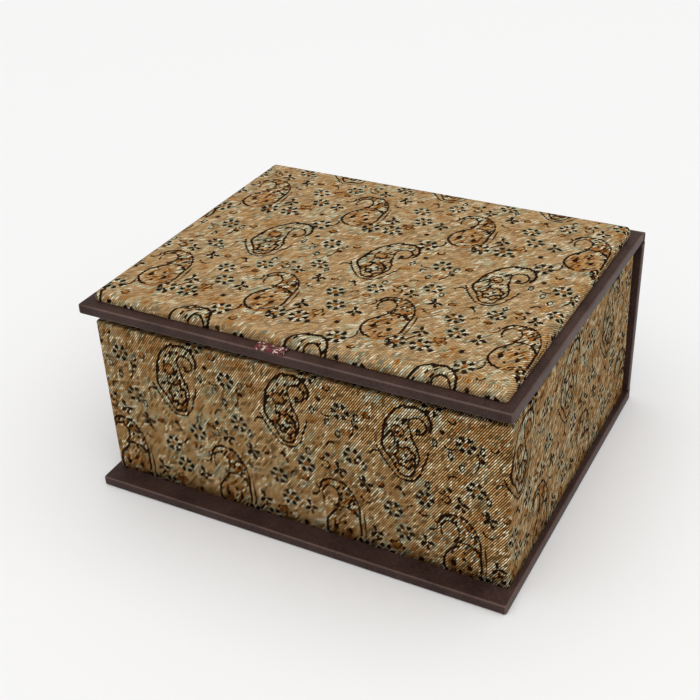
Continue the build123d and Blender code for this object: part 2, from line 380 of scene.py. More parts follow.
@dataclass(frozen=True)
class PaisleyBrocade:
    """Jacquard brocade, woven of rayon and cotton wefts on a steep twill.

    The twill gives the eye short slanting dashes of one yarn each, with furrows between them that
    are painted dark for the shade that falls in them. The picks are 0.78 mm apart and lean at 56
    degrees. Motifs are drawn mostly at the point itself and partly at the dash's middle, which gives
    woven drawing its stepped edges. The thread of real brocade is three times finer; it is drawn
    coarse so that it shows.
    """

    name: str
    shift: tuple[float, float]
    # How dark the furrows are painted and how far the yarns are evened toward one middle colour differ
    # between copies of this one cloth: painted shade and painted flattening for the light on each.
    painted_furrow_shade: float
    furrow_width: float
    evenness: float
    pull: tuple[float, float]
    ground: Shades = (
        (0, "#80633c"), (0.14, "#b08856"), (0.38, "#cba06a"), (0.64, "#e1bb85"), (0.84, "#fae8be"),
    )
    pale: Shades = ((0, "#8a8468"), (0.15, "#b2ab88"), (0.4, "#cac4a0"), (0.7, "#f1e4c2"), (0.92, "#b08a56"))
    warm: Shades = ((0, "#754618"), (0.25, "#a4662c"), (0.55, "#bb8448"), (0.82, "#ceaa74"))
    dark: Shades = ((0, "#180f0a"), (0.5, "#29190e"), (0.85, "#472d18"))
    # Painted shade: the dark colour laid into the twill's furrows, where shade falls between the dashes.
    furrow_shade_colour: str = "#221105"
    middle: str = "#c1a57f"
    pick: float = 0.78
    dash: float = 2.0
    lean: float = 56.0
    step: float = 0.4
    stepped: float = 0.3
    mottle_share: float = 0.5
    speck_share: float = 0.13
    repeat: Repeat = field(default_factory=Repeat)

    def threads(self, place: Socket) -> tuple[Socket, Socket, Socket]:
        """Finds the dash that a point lies in.

        Args:
            place: the point on the cloth, in millimetres.

        Returns:
            The dash's middle, its number, and the point counted in dashes and picks. Along and
            across the lean, the point is divided by the dash's length and the pick; each pick
            starts 0.4 of a dash later than the one before, and both are rounded down.
        """
        lean = math.radians(self.lean)
        turned = node("VectorRotate", place, None, None, -lean, rotation_type="Z_AXIS")
        counted = node("VectorMath.MULTIPLY", turned, (1 / self.dash, 1 / self.pick, 0))
        parts = node("SeparateXYZ", counted).node.outputs
        row = node("Math.FLOOR", parts[1])
        slid = node("Math.MULTIPLY_ADD", row, self.step, parts[0])
        number = node("Math.FLOOR", slid)
        middle = node("Math.MULTIPLY_ADD", row, -self.step, number)
        back = node("VectorMath.ADD", node("CombineXYZ", middle, row, 0.0), (0.5, 0.5, 0))
        back = node("VectorMath.MULTIPLY", back, (self.dash, self.pick, 0))
        back = node("VectorRotate", back, None, None, lean, rotation_type="Z_AXIS")
        return back, node("CombineXYZ", number, row, 0.0), node("CombineXYZ", slid, parts[1], 0.0)

    def tall_paisley(self, place: Socket, chances: Chances) -> Drawing:
        """The tall drop: a body with an eye and a cup of petals, a curled tip, an outer leaf.

        Args:
            place: the point on the cloth, in millimetres.
            chances: where dashes of other wefts may show.

        Returns:
            Where it brings up each weft. The cup's edge waves with the cosine of 7 angles.
        """
        near = self.repeat.near(place, 0, 0)
        body = Polar.about(near)
        edge = body.outline(TALL_BODY, TALL_REACH)
        leaf = body.outline(TALL_LEAF, TALL_REACH)
        inner = Polar.about(near, 5.6, 8.5)
        outer = Polar.about(near, 4.5, 10.0)
        eye = Polar.about(near, -2.1, 4.2)
        cup = Polar.about(near, 0.8, -6.8, squeeze=0.85)
        stroke = Polar.about(near, -9.4, 0.0)
        inside = below(node("Math.SUBTRACT", body.radius, edge), 0)
        curl = both(below(outer.radius, 6.4), outer.sector(-20, 170))
        fill = both(either(inside, curl), outside(below(inner.radius, 3.5)))
        petals = cup.waves(7, 0.45, cup.radius)
        dots = blobs(near, CUP_DOTS)
        dark = either(
            both(line(body.radius, edge, 0.58), outside(body.sector(68, 86))),
            body.arc(leaf, 0.4, -158, -10),
            both(line(inner.radius, 3.5, 0.42), outside(inner.sector(-140, -100))),
            outer.arc(6.4, 0.58, -28, 128),
            below(Polar.about(near, 5.9, 6.6).radius, 1.0),
            line(eye.radius, 2.5, 0.3),
            line(petals, 4.5, 0.65),
            stroke.arc(6.2, 0.3, -25, 40),
            dots,
            both(fill, chances.speck),
        )
        warm = either(
            both(below(eye.radius, 2.4), outside(below(eye.radius, 1.0))),
            both(line(petals, 3.4, 0.5), chances.glint),
            both(inside, body.sector(-130, -50), outside(below(cup.radius, 5.0)), chances.mottle),
        )
        rim = body.arc(node("Math.ADD", leaf, 0.9), 0.5, -150, -50)
        return Drawing(dark, warm, either(both(either(fill, rim), chances.glint), below(cup.radius, 2.6)))

    def round_paisley(self, place: Socket, chances: Chances) -> Drawing:
        """The round drop: a rust belly with seeds, and a tip that hooks over to the left.

        Args:
            place: the point on the cloth, in millimetres.
            chances: where dashes of other wefts may show.

        Returns:
            Where it brings up each weft.
        """
        near = self.repeat.near(place, 22.3, 32.1)
        near = node("VectorMath.MULTIPLY", near, (1.07, 1.07, 1))
        body = Polar.about(near)
        edge = body.outline(ROUND_BODY, ROUND_REACH)
        hook = Polar.about(near, -3.9, 14.7)
        window = Polar.about(near, -5.6, 12.4, squeeze=0.76)
        belly = Polar.about(near, 0, -2.5)
        collar = Polar.about(near, 0.4, -1.5)
        inside = below(node("Math.SUBTRACT", body.radius, edge), 0)
        tip = both(below(hook.radius, 6.2), hook.sector(20, 178))
        neck = outside(below(belly.radius, 8.0))
        fill = both(either(inside, tip), outside(below(window.radius, 5.0)), neck)
        seeds = blobs(near, SEEDS, squeeze=0.7)
        dark = either(
            both(line(body.radius, edge, 0.58), outside(either(body.sector(94, 102), body.sector(-96, -34)))),
            both(line(window.radius, 5.1, 0.5), outside(window.sector(-135, -70))),
            hook.arc(6.3, 0.58, 72, 180),
            body.arc(node("Math.ADD", edge, 2.2), 0.3, -30, 48),
            collar.arc(9.3, 0.85, 44, 64),
            collar.arc(9.6, 0.45, 60, 114),
            belly.arc(7.0, 0.35, -80, -30),
            belly.arc(4.4, 0.35, 150, 180),
            seeds,
            both(fill, chances.speck),
        )
        rim = body.arc(node("Math.ADD", edge, 2.0), 0.9, -140, -50)
        ticks = body.arc(node("Math.ADD", edge, -1.6), 0.7, 10, 66)
        shoulders = blobs(near, SHOULDERS, squeeze=0.6)
        rust = both(inside, below(belly.radius, 7.0, 3.0), outside(both(chances.glint, neck)))
        brown = body.arc(edge, 0.5, -96, -34)
        warm = either(both(either(fill, rust), chances.mottle), brown)
        return Drawing(dark, warm, either(both(either(rim, fill), chances.glint), ticks, shoulders))

    def small_motifs(self, place: Socket, chances: Chances) -> Drawing:
        """Six-petalled blossoms, sprigs of three leaves, an orange flower, berries and vines.

        Args:
            place: the point on the cloth, in millimetres.
            chances: where dashes of other wefts may show.

        Returns:
            Where they bring up each weft. A blossom's petals are where the cosine of 6 times the
            angle is high, between 1.6 and 3.8 mm out. A sprig reaches 1.4 + 2 mm times the cosine
            of 3 times the angle.
        """
        flower = Polar.about(self.repeat.nearest(place, FLOWERS))
        petals = both(line(flower.radius, 2.7, 1.05), flower.waves(6, 3.0, 1.3, use_clamp=True))
        halo = both(below(flower.radius, 4.5, 0.8), either(chances.glint, below(flower.radius, 3.6)))

        sprig = Polar.about(self.repeat.nearest(place, SPRIGS))
        gap = node("Math.SUBTRACT", sprig.radius, sprig.waves(3, 2.0, 1.4, start=0.6))
        leaves = either(below(gap, 0), sprig.arc(2.6, 1.2, -88, -62))

        rosette = Polar.about(self.repeat.nearest(place, ROSETTES))
        berry = Polar.about(self.repeat.nearest(place, BERRIES))
        bead = Polar.about(self.repeat.nearest(place, BEADS), squeeze=0.6).radius
        orange = Polar.about(self.repeat.near(place, -4.5, 28.4))
        frill = orange.waves(5, 0.5, 2.5)
        rust = either(below(rosette.radius, 1.4, 0.4), below(node("Math.SUBTRACT", orange.radius, frill), 0))
        dots = below(berry.radius, 1.05, 0.5)
        vines = gathered(
            Polar.about(self.repeat.near(place, x, y)).arc(radius, 0.36, start, end)
            for x, y, radius, start, end in VINES
        )
        dark = either(
            petals,
            leaves,
            dots,
            line(bead, 1.5, 0.4),
            rosette.arc(1.4, 0.35, -170, 20),
            vines,
            orange.arc(frill, 0.3, -20, 175),
            orange.arc(1.1, 0.25, -180, 30),
        )
        pale = either(halo, line(gap, 0.8, 0.5), below(bead, 2.5), rosette.arc(2.2, 0.35, 0, 120))
        return Drawing(dark, either(below(flower.radius, 1.2), rust), pale)

    def pulled(self, place: Socket) -> Socket:
        """Moves the drawing between the rows of tall drops, as the cloth was pulled there.

        Args:
            place: the point on the cloth, in millimetres.

        Returns:
            The point less the move, which is 0 on each row and pull halfway between: pull / 2
            times 1 minus the cosine of the share of the repeat.
        """
        height = node("SeparateXYZ", place).node.outputs[1]
        turn = node("Math.MULTIPLY", height, 2 * math.pi / self.repeat.up)
        share = node("Math.MULTIPLY_ADD", node("Math.COSINE", turn), -0.5, 0.5)
        move = node("VectorMath.SCALE", (*self.pull, 0), None, None, share)
        return node("VectorMath.SUBTRACT", place, move)

    def relief(self, count: Socket) -> Socket:
        """The furrows' depth: a cosine across the pick, and a third as much along the dash."""
        waves = node("VectorMath.MULTIPLY", count, (2 * math.pi, 2 * math.pi, 0))
        waves = node("SeparateXYZ", node("VectorMath.COSINE", waves)).node.outputs
        depth = node("Math.MULTIPLY_ADD", waves[0], 0.33, waves[1])
        return node("Math.MULTIPLY_ADD", depth, 0.8, self.furrow_width, use_clamp=True)

    def build(self) -> Material:
        """Weaves the cloth.

        Returns:
            The material: ground and flecks by dash, the motifs over them, then painted shade in the furrows
                and their relief.
        """
        material, tree = new_material(self.name)
        place = node("UVMap", tree=tree, uv_map="cloth_mm")
        place = node("VectorMath.ADD", place, (-self.shift[0], -self.shift[1], 0))
        middle, cell, count = self.threads(place)
        chance = node("TexWhiteNoise", cell, noise_dimensions="2D")
        drawn = node("Mix", self.stepped, None, None, None, place, middle, data_type="VECTOR").node.outputs[1]
        drawn = self.pulled(drawn)

        # Clouds about 8 mm across bring up the rust weft, the pale weft and the glints in patches.
        # Each has the channel of its draw, the draw's weight and the least sum with the cloud.
        cloud = node("TexNoise", middle, None, 0.12, 2.0, 0.55).node.outputs[1]
        draws = node("SeparateColor", chance.node.outputs[1]).node.outputs
        patch = node("SeparateColor", cloud).node.outputs
        rusty, light, glints = (
            node("Math.GREATER_THAN", node("Math.MULTIPLY_ADD", draws[i], weight, patch[i]), least)
            for i, weight, least in ((0, 0.34, 0.79), (1, 0.34, 0.83), (2, 0.3, 0.63))
        )
        mottle = node("Math.LESS_THAN", draws[2], self.mottle_share)
        chances = Chances(glints, mottle, node("Math.LESS_THAN", draws[1], self.speck_share))
        motifs = (self.tall_paisley, self.round_paisley, self.small_motifs)
        drawings = [draw(drawn, chances) for draw in motifs]
        # Painted light: evening the yarns toward one middle colour flattens the lid's copy, as light from
        # straight above flattens it.
        cloth = node("MixRGB", self.evenness, yarns(chance, self.ground), self.middle)
        for mask, shades in (
            (rusty, self.warm),
            (either(light, *(d.pale for d in drawings)), self.pale),
            (either(*(d.warm for d in drawings)), self.warm),
            (either(*(d.dark for d in drawings)), self.dark),
        ):
            cloth = node("MixRGB", mask, cloth, yarns(chance, shades))

        depth = self.relief(count)
        # Painted shade: the furrows are darkened toward a shade colour by their depth; the bump below gives
        # them their real relief.
        cloth = node("MixRGB", node("Math.MULTIPLY", depth, self.painted_furrow_shade), cloth, self.furrow_shade_colour)
        bump = node("Bump", 0.4, 0.0003, None, node("Math.MULTIPLY_ADD", depth, -1.0, chance))
        principled(cloth, bump, Roughness=0.8, Specular_IOR_Level=0.02)
        return material


@dataclass(frozen=True)
class Leatherette:
    """Bookbinder's leatherette: coated paper embossed with a fine pebble, dark brown."""

    name: str = "leatherette_coated_embossed"
    colour: str = "#2a1c18"
    worn: str = "#493631"
    # Painted highlight: a paler colour laid along every arris, in patches of the slow cloud.
    arris_highlight: str = "#7c635a"
    pebble: float = 0.7
    arris: float = 0.8

    def build(self) -> Material:
        """Pebble from cells 0.7 mm wide, over a slow change of tone, with a painted highlight along the
        arrises.

        Returns:
            The material. Real pebble is 0.3 mm; it is drawn coarser so that it shows. An arris
            is where the normal, rounded over 0.8 mm, points between two of the piece's own
            axes. The tone's clouds are 17 mm wide, and the grain over the pebble is 0.45 mm.
        """
        material, tree = new_material(self.name)
        place = node("TexCoord", tree=tree).node.outputs["Object"]
        slow = node("TexNoise", place, None, 60.0, 4.0, 0.6)
        cells = node("TexVoronoi", place, None, 1 / (self.pebble * MM), feature="SMOOTH_F1")
        tone = node("Math.MULTIPLY_ADD", cells, 0.5, slow)
        tone = node("Math.MULTIPLY_ADD", tone, 1.8, -0.75, use_clamp=True)
        rounded = node("Bevel", self.arris * MM, tree=tree)
        turned = node(
            "VectorTransform", rounded, vector_type="NORMAL", convert_from="WORLD", convert_to="OBJECT"
        )
        sides = node("SeparateXYZ", node("VectorMath.ABSOLUTE", turned)).node.outputs
        squareness = node("Math.MAXIMUM", sides[0], node("Math.MAXIMUM", sides[1], sides[2]))
        # Painted highlight: paler where the normal, rounded over the arris, turns away from the piece's own
        # axes.
        arris_highlight = node("Math.MULTIPLY_ADD", squareness, -8.0, 7.8, use_clamp=True)
        colour = node("MixRGB", tone, self.colour, self.worn)
        colour = node("MixRGB", node("Math.MULTIPLY", arris_highlight, slow), colour, self.arris_highlight)
        grain = node("TexNoise", place, None, 2200.0, 2.0, 0.6)
        bump = node("Bump", 0.35, 0.0002, None, node("Math.MULTIPLY_ADD", cells, 1.0, grain))
        principled(colour, bump, Roughness=0.42, Specular_IOR_Level=0.13)
        return material


@dataclass(frozen=True)
class Satin:
    """Acetate lining satin: long floats give a soft sheen across the threads."""

    name: str = "acetate_satin_woven"
    colour: str = "#c98a74"
    deep: str = "#a9695a"
    thread: float = 0.6

    def build(self) -> Material:
        """Slubs as a noise stretched along the threads, drawn twice as coarse as real ones.

        Returns:
            The material.
        """
        material, tree = new_material(self.name)
        place = node("UVMap", tree=tree, uv_map="cloth_mm")
        stretched = node("VectorMath.MULTIPLY", place, (0.05, 1 / self.thread, 0))
        slub = node("TexNoise", stretched, None, 1.0, 3.0, 0.6)
        share = node("Math.MULTIPLY_ADD", slub, 1.2, -0.1, use_clamp=True)
        colour = node("MixRGB", share, self.deep, self.colour)
        bump = node("Bump", 0.12, 0.0001, None, slub)
        principled(colour, bump, Roughness=0.42, Anisotropic=0.4, Specular_IOR_Level=0.45, Sheen_Weight=0.25)
        return material


@dataclass(frozen=True)
class Greyboard:
    """Greyboard: pressed recycled paper, matt, with short fibres."""

    name: str = "greyboard_pressed"
    colour: str = "#8d857b"
    fibre: str = "#6f675f"

    def build(self) -> Material:
        """Fibres about 1 mm wide and four times as long, as a stretched noise.

        Returns:
            The material.
        """
        material, tree = new_material(self.name)
        place = node("TexCoord", tree=tree).node.outputs["Object"]
        fibres = node("TexNoise", node("VectorMath.MULTIPLY", place, (0.25, 1, 1)), None, 900.0, 4.0, 0.7)
        colour = node("MixRGB", fibres, self.fibre, self.colour)
        principled(colour, node("Bump", 0.3, 0.0002, None, fibres), Roughness=0.9)
        return material


@dataclass(frozen=True)
class FloralRibbon:
    """Jacquard ribbon, woven of polyester: wine red, with curled sprays in cream and green.

    Weaving gives it fine ribs across its width and drawing that is a thread wide.
    """

    name: str = "ribbon_polyester_jacquard"
    ground: str = "#64202b"
    sprays: Shades = ((0, "#cdbfb4"), (0.5, "#77805c"), (0.75, "#1f181b"))
    spray_width: float = 2.6
    rib: float = 0.4

    def build(self) -> Material:
        """Sprays are contour lines of a noise 2.6 mm wide.

        Returns:
            The material. Each spray's colour comes from another channel of that noise.
        """
        material, tree = new_material(self.name)
        place = node("UVMap", tree=tree, uv_map="cloth_mm")
        noise = node("TexNoise", place, None, 1 / self.spray_width, 1.0, 0.5).node.outputs
        curls = node("Math.COMPARE", noise[0], 0.52, 0.035)
        tone = node("SeparateXYZ", noise[1]).node.outputs[1]
        tone = node("Math.MULTIPLY_ADD", tone, 2.5, -0.75, use_clamp=True)
        colour = node("MixRGB", curls, self.ground, yarns(tone, self.sprays))
        weave = node("TexWave", place, 1 / (2 * self.rib), 0.0, 1.0, 1.0, bands_direction="Y")
        principled(colour, node("Bump", 0.3, 0.0002, None, weave), Roughness=0.55, Specular_IOR_Level=0.3)
        return material


@dataclass(frozen=True)
class Placement:
    """Where a flat piece lies: an origin and three directions, in millimetres."""

    origin: tuple[float, float, float] = (0, 0, 0)
    right: tuple[float, float, float] = (1, 0, 0)
    back: tuple[float, float, float] = (0, 1, 0)
    up: tuple[float, float, float] = (0, 0, 1)

    def put(self, points: np.ndarray) -> np.ndarray:
        """Takes (…, 3) points from the piece's own axes to the row frame."""
        return np.array(self.origin, float) + points @ np.array([self.right, self.back, self.up], float)


def add(name: str, data: bpy.types.ID) -> bpy.types.Object:
    """Puts a mesh, light or camera in the scene, at the origin.

    Args:
        name: the object's name.
        data: what it shows.

    Returns:
        The object.
    """
    made = bpy.data.objects.new(name, data)
    bpy.context.scene.collection.objects.link(made)
    return made


def skin(
    name: str, points: np.ndarray, cloth: np.ndarray, loop_rows: bool = False, loop_columns: bool = True
) -> bpy.types.Object:
    """Makes a mesh of quads over a grid of points, with the cloth's millimetres as its UV map.

    Args:
        name: the piece's name.
        points: (rows, columns, 3) in millimetres in the row frame.
        cloth: (rows + 1 if rows close, columns + 1 if columns close, 2) in millimetres.
        loop_rows: whether the last row joins the first.
        loop_columns: whether the last column joins the first.

    Returns:
        The object, at the origin, with doubled points merged and faces turned outwards.
    """
    rows, columns = points.shape[:2]
    row = np.arange(rows if loop_rows else rows - 1)[:, None]
    column = np.arange(columns if loop_columns else columns - 1)[None, :]
    corners = [(row, column), (row, column + 1), (row + 1, column + 1), (row + 1, column)]
    faces = np.stack([(r % rows) * columns + (c % columns) + 0 * (r + c) for r, c in corners], -1)
    faces = faces.reshape(-1, 4)
    uv = np.stack([cloth[r + 0 * c, c + 0 * r] for r, c in corners], -2).reshape(-1, 2)
    mesh = bpy.data.meshes.new(name)
    mesh.from_pydata((points.reshape(-1, 3) * MM).tolist(), [], faces.tolist())
    layer = mesh.uv_layers.new(name="cloth_mm")
    layer.data.foreach_set("uv", uv.astype(np.float32).ravel())
    work = bmesh.new()
    work.from_mesh(mesh)
    bmesh.ops.remove_doubles(work, verts=work.verts, dist=1e-6)
    bmesh.ops.recalc_face_normals(work, faces=work.faces)
    work.to_mesh(mesh)
    work.free()
    mesh.polygons.foreach_set("use_smooth", np.ones(len(mesh.polygons), bool))
    return add(name, mesh)


def side_counts(half_x: float, half_y: float, step: float = 3.0) -> tuple[int, int]:
    """How many points go on half of a back or front side, and on a whole left or right side."""
    return int(half_x / step), 2 * int(half_y / step)


def rounded_outline(
    half_x: float, half_y: float, radius: float, counts: tuple[int, int], corner_points: int = 9
) -> tuple[np.ndarray, np.ndarray]:
    """A rectangle with rounded corners, counter-clockwise from the middle of its back side.

    Args:
        half_x: half its width.
        half_y: half its depth.
        radius: the corners' radius.
        counts: the points on the straight sides, as side_counts gives them.
        corner_points: the points on each quarter turn.

    Returns:
        The points (n, 2) and their outward directions (n, 2). Each corner is its centre plus
        radius times the direction, and each side is a run of points between two corners.
    """
    count_x, count_y = counts
    run_x, run_y = half_x - radius, half_y - radius
    sides = (
        ((0, half_y), (-run_x, half_y), count_x, (0, 1)),
        ((-half_x, run_y), (-half_x, -run_y), count_y, (-1, 0)),
        ((-run_x, -half_y), (run_x, -half_y), 2 * count_x, (0, -1)),
        ((half_x, -run_y), (half_x, run_y), count_y, (1, 0)),
        ((run_x, half_y), (0, half_y), count_x, (0, 1)),
    )
    points, normals = [], []
    for turn, (start, end, count, normal) in enumerate(sides):
        share = (np.arange(count) + 0.5)[:, None] / count
        points.append(np.array(start) + share * (np.array(end) - np.array(start)))
        normals.append(np.tile(normal, (count, 1)))
        if turn < 4:
            angle = np.radians(np.linspace(90 * turn + 90, 90 * turn + 180, corner_points))
            direction = np.stack([np.cos(angle), np.sin(angle)], -1)
            points.append(np.array(end) - radius * np.array(normal) + radius * direction)
            normals.append(direction)
    return np.concatenate(points), np.concatenate(normals)


def run_length(points: np.ndarray, closed: bool) -> np.ndarray:
    """Distance along a line of points from its first.

    Args:
        points: (n, 2) points.
        closed: whether the line goes home from its last point.

    Returns:
        The distance at each point, with the way home last where it closes.
    """
    line_points = np.concatenate([points, points[:1]]) if closed else points
    steps = np.linalg.norm(np.diff(line_points, axis=0), axis=1)
    return np.concatenate([[0], np.cumsum(steps)])


@dataclass
class Pad:
    """A thin padded panel: crowned face, rolled edges, cloth turned under a flat back.

    half_x and half_y are half its size, and middle is where its centre lies on its placement.
    """

    name: str
    placement: Placement
    middle: tuple[float, float]
    half_x: float
    half_y: float
    height: float
    crown: float
    corner: float
    roll: float
    pull_in: float = 0.0
    tuck: float = 0.5
    least_corner: float = 0.2

    def section(self) -> np.ndarray:
        """The side's (inset, height) points: the tuck under, then the roll over to the face."""
        turn = np.radians(np.linspace(-90, 0, 5))
        under = np.stack([self.tuck * (np.cos(turn) - 1), self.tuck * (np.sin(turn) + 1)], -1)
        turn = np.radians(np.linspace(0, 90, 9))
        rise = self.height - self.roll + self.roll * np.sin(turn)
        return np.concatenate([under, np.stack([self.roll * (np.cos(turn) - 1), rise], -1)])

    def build(self) -> bpy.types.Object:
        """Makes the closed panel.

        Returns:
            The mesh. A section runs from the back's middle to the tuck, up the side, round the
            roll and over the face to its middle, and every row of it follows the outline. The
            face rises by crown * (1 - x²)(1 - y²) with x and y from -1 to 1, and each side pulls
            in by a sine along its length.
        """
        section = self.section()
        lengths = run_length(section, closed=False)
        counts = side_counts(self.half_x, self.half_y)
        outline, normals = rounded_outline(self.half_x, self.half_y, self.corner, counts)
        across = np.abs(normals[:, 1]) > 0.99
        side_share = np.where(across, outline[:, 0] / self.half_x, outline[:, 1] / self.half_y)
        pulled = self.pull_in * np.clip(np.cos(side_share * np.pi / 2), 0, 1)
        flat_corner = max(self.corner - self.roll, self.least_corner)
        start = rounded_outline(self.half_x - self.roll, self.half_y - self.roll, flat_corner, counts)[0]
        rings, cloth = [], []
        for share in (0.0, 0.5, 0.9):
            rings.append(np.column_stack([start * share, np.zeros(len(start))]))
            cloth.append(start * share)
        for (inset, height), length in zip(section, lengths):
            radius = max(self.corner + inset, self.least_corner)
            ring, _ = rounded_outline(self.half_x + inset, self.half_y + inset, radius, counts)
            ring = ring - normals * (np.clip(height / self.height, 0, 1) * pulled)[:, None]
            rings.append(np.column_stack([ring, np.full(len(ring), height)]))
            cloth.append(start + normals * (lengths[-1] - length))
        for share in np.linspace(0.97, 0.0, 24):
            rings.append(np.column_stack([start * share, np.full(len(start), self.height)]))
            cloth.append(start * share)
        points = np.array(rings)
        x, y = points[..., 0] / self.half_x, points[..., 1] / self.half_y
        lift = self.crown * np.clip(1 - x**2, 0, 1) * np.clip(1 - y**2, 0, 1)
        points[..., 2] += lift * (points[..., 2] > self.height / 2) * (points[..., 2] / self.height)
        points[..., :2] += np.array(self.middle)
        cloth_mm = np.array(cloth) + np.array(self.middle)
        cloth_mm = np.concatenate([cloth_mm, cloth_mm[:, :1]], axis=1)
        return skin(self.name, self.placement.put(points), cloth_mm)


@dataclass
class Wrap:
    """Cloth or lining round the four walls of a tray: one closed section carried round it.

    section holds (inset, height) pairs: how far inside the outline, and how high.
    """

    name: str
    placement: Placement
    half_x: float
    half_y: float
    corner: float
    section: np.ndarray
    least_corner: float = 0.12

    def ring(self, inset: float = 0.0) -> np.ndarray:
        """The outline at an inset, as (n, 2) points. Its corner shrinks by the inset too."""
        corner = max(self.corner - inset, self.least_corner)
        counts = side_counts(self.half_x, self.half_y)
        return rounded_outline(self.half_x - inset, self.half_y - inset, corner, counts)[0]

    def build(self) -> bpy.types.Object:
        """Carries the section round the outline.

        Returns:
            The mesh. Its UV map is the run up the section and the run round it, which is 0 in
            the middle of the front, so that the pattern stands there as the photograph shows it.
        """
        around = run_length(self.ring(), closed=True)
        around = around - around[-1] / 2
        up = run_length(self.section, closed=True)
        rings = []
        for inset, height in self.section:
            ring = self.ring(inset)
            rings.append(np.column_stack([ring, np.full(len(ring), height)]))
        cloth = np.stack(np.broadcast_arrays(around[None, :], up[:, None]), -1)
        return skin(self.name, self.placement.put(np.array(rings)), cloth, loop_rows=True)

    def cut(self) -> tuple[float, float]:
        """The cloth's flat size in metres: the outline's run, and half the section's."""
        around, up = (run_length(points, closed=True)[-1] for points in (self.ring(), self.section))
        return around * MM, up / 2 * MM


def strap(
    name: str, placement: Placement, path: np.ndarray, thickness: float, x_limits: tuple[float, float]
) -> bpy.types.Object:
    """A flat band of even thickness that follows a path in the (back, up) plane.

    Args:
        name: the piece's name.
        placement: its own axes.
        path: (n, 2) points of the band's middle line.
        thickness: the band's thickness.
        x_limits: its two edges.

    Returns:
        The closed mesh. Each side of the band is the path moved half the thickness along its
        own normal, and the two edges are closed by quads between the sides.
    """
    tangent = np.gradient(path, axis=0)
    tangent /= np.linalg.norm(tangent, axis=1)[:, None]
    normal = np.column_stack([-tangent[:, 1], tangent[:, 0]])
    outer, inner = path + normal * thickness / 2, path - normal * thickness / 2
    along = run_length(path, closed=False)
    columns = np.linspace(*x_limits, 13)
    loop = np.concatenate([outer, inner[::-1]])
    middle = np.concatenate([path, path[::-1]])
    x = np.concatenate([x_limits[:1], columns, x_limits[1:]])
    across = np.stack([middle, *[loop] * len(columns), middle], 1)
    points = np.concatenate([np.broadcast_to(x[None, :, None], (*across.shape[:2], 1)), across], -1)
    cloth = np.stack(np.broadcast_arrays(x[None, :], np.concatenate([along, along[::-1]])[:, None]), -1)
    cloth = np.concatenate([cloth, cloth[:1]], axis=0)
    return skin(name, placement.put(points), cloth, loop_rows=True, loop_columns=False)


class Side(Enum):
    """The two folds of the case's cover."""

    LOWER = "lower"
    UPPER = "upper"


@dataclass
class Sizes:
    """The part's driving sizes that the dressed pieces repeat, in millimetres."""

    half_width: float = 90.0
    back_fold: float = 75.0
    spine_back_shift: float = 4.5
    lid_back_height: float = 80.6
    lid_tilt: float = 2.0
    spine_side_shift: float = -0.5
    lid_side_shift: float = -1.0
    cover: float = 0.6
    fold_strip_height: float = 4.7

    def lid(self) -> Placement:
        """The lid's outer face, from its back fold; back points down with the lid's tilt."""
        tilt = math.radians(self.lid_tilt)
        return Placement(
            origin=(self.lid_side_shift, self.back_fold + self.spine_back_shift, self.lid_back_height),
            back=(0, math.cos(tilt), -math.sin(tilt)),
            up=(0, math.sin(tilt), math.cos(tilt)),
        )

    def lid_underside(self, depth: float) -> Placement:
        """A face inside the lid, at a depth under its outer face, looked at from below."""
        lid = self.lid()
        down = -np.array(lid.up)
        return Placement(tuple(np.array(lid.origin) + depth * down), (-1, 0, 0), lid.back, tuple(down))

    def spine_length(self) -> float:
        """The spine's length between its two folds."""
        return math.hypot(self.spine_back_shift, self.lid_back_height)

    def spine(self) -> Placement:
        """The spine's outer face, from the lower fold; up runs along the spine."""
        length = self.spine_length()
        run = (0, self.spine_back_shift / length, self.lid_back_height / length)
        return Placement((self.spine_side_shift, self.back_fold, 0), (1, 0, 0), (0, run[2], -run[1]), run)


GLUE = 0.05


def room(node_name: str) -> tuple[np.ndarray, np.ndarray, np.ndarray, float]:
    """The box of a CAD node, in millimetres.

    Args:
        node_name: the node.

    Returns:
        Its lowest and highest corner, half its size, and the y of its middle.
    """
    low, high = (np.array(corner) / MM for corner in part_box(node_name))
    return low, high, (high - low) / 2, (low[1] + high[1]) / 2


def dress(piece: bpy.types.Object, material: Material, body: str, slot: str, *nodes: str) -> None:
    """Gives a piece what it is made of and what it belongs to.

    Args:
        piece: the finished piece.
        material: its finish.
        body: the body that it rides on.
        slot: not used.
        nodes: the CAD nodes that it stands for.
    """
    piece.data.materials.append(material)
    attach(piece, body)
    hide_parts(*nodes)
    log.info("%s: %d faces, rides on %s", piece.name, len(piece.data.polygons), body)


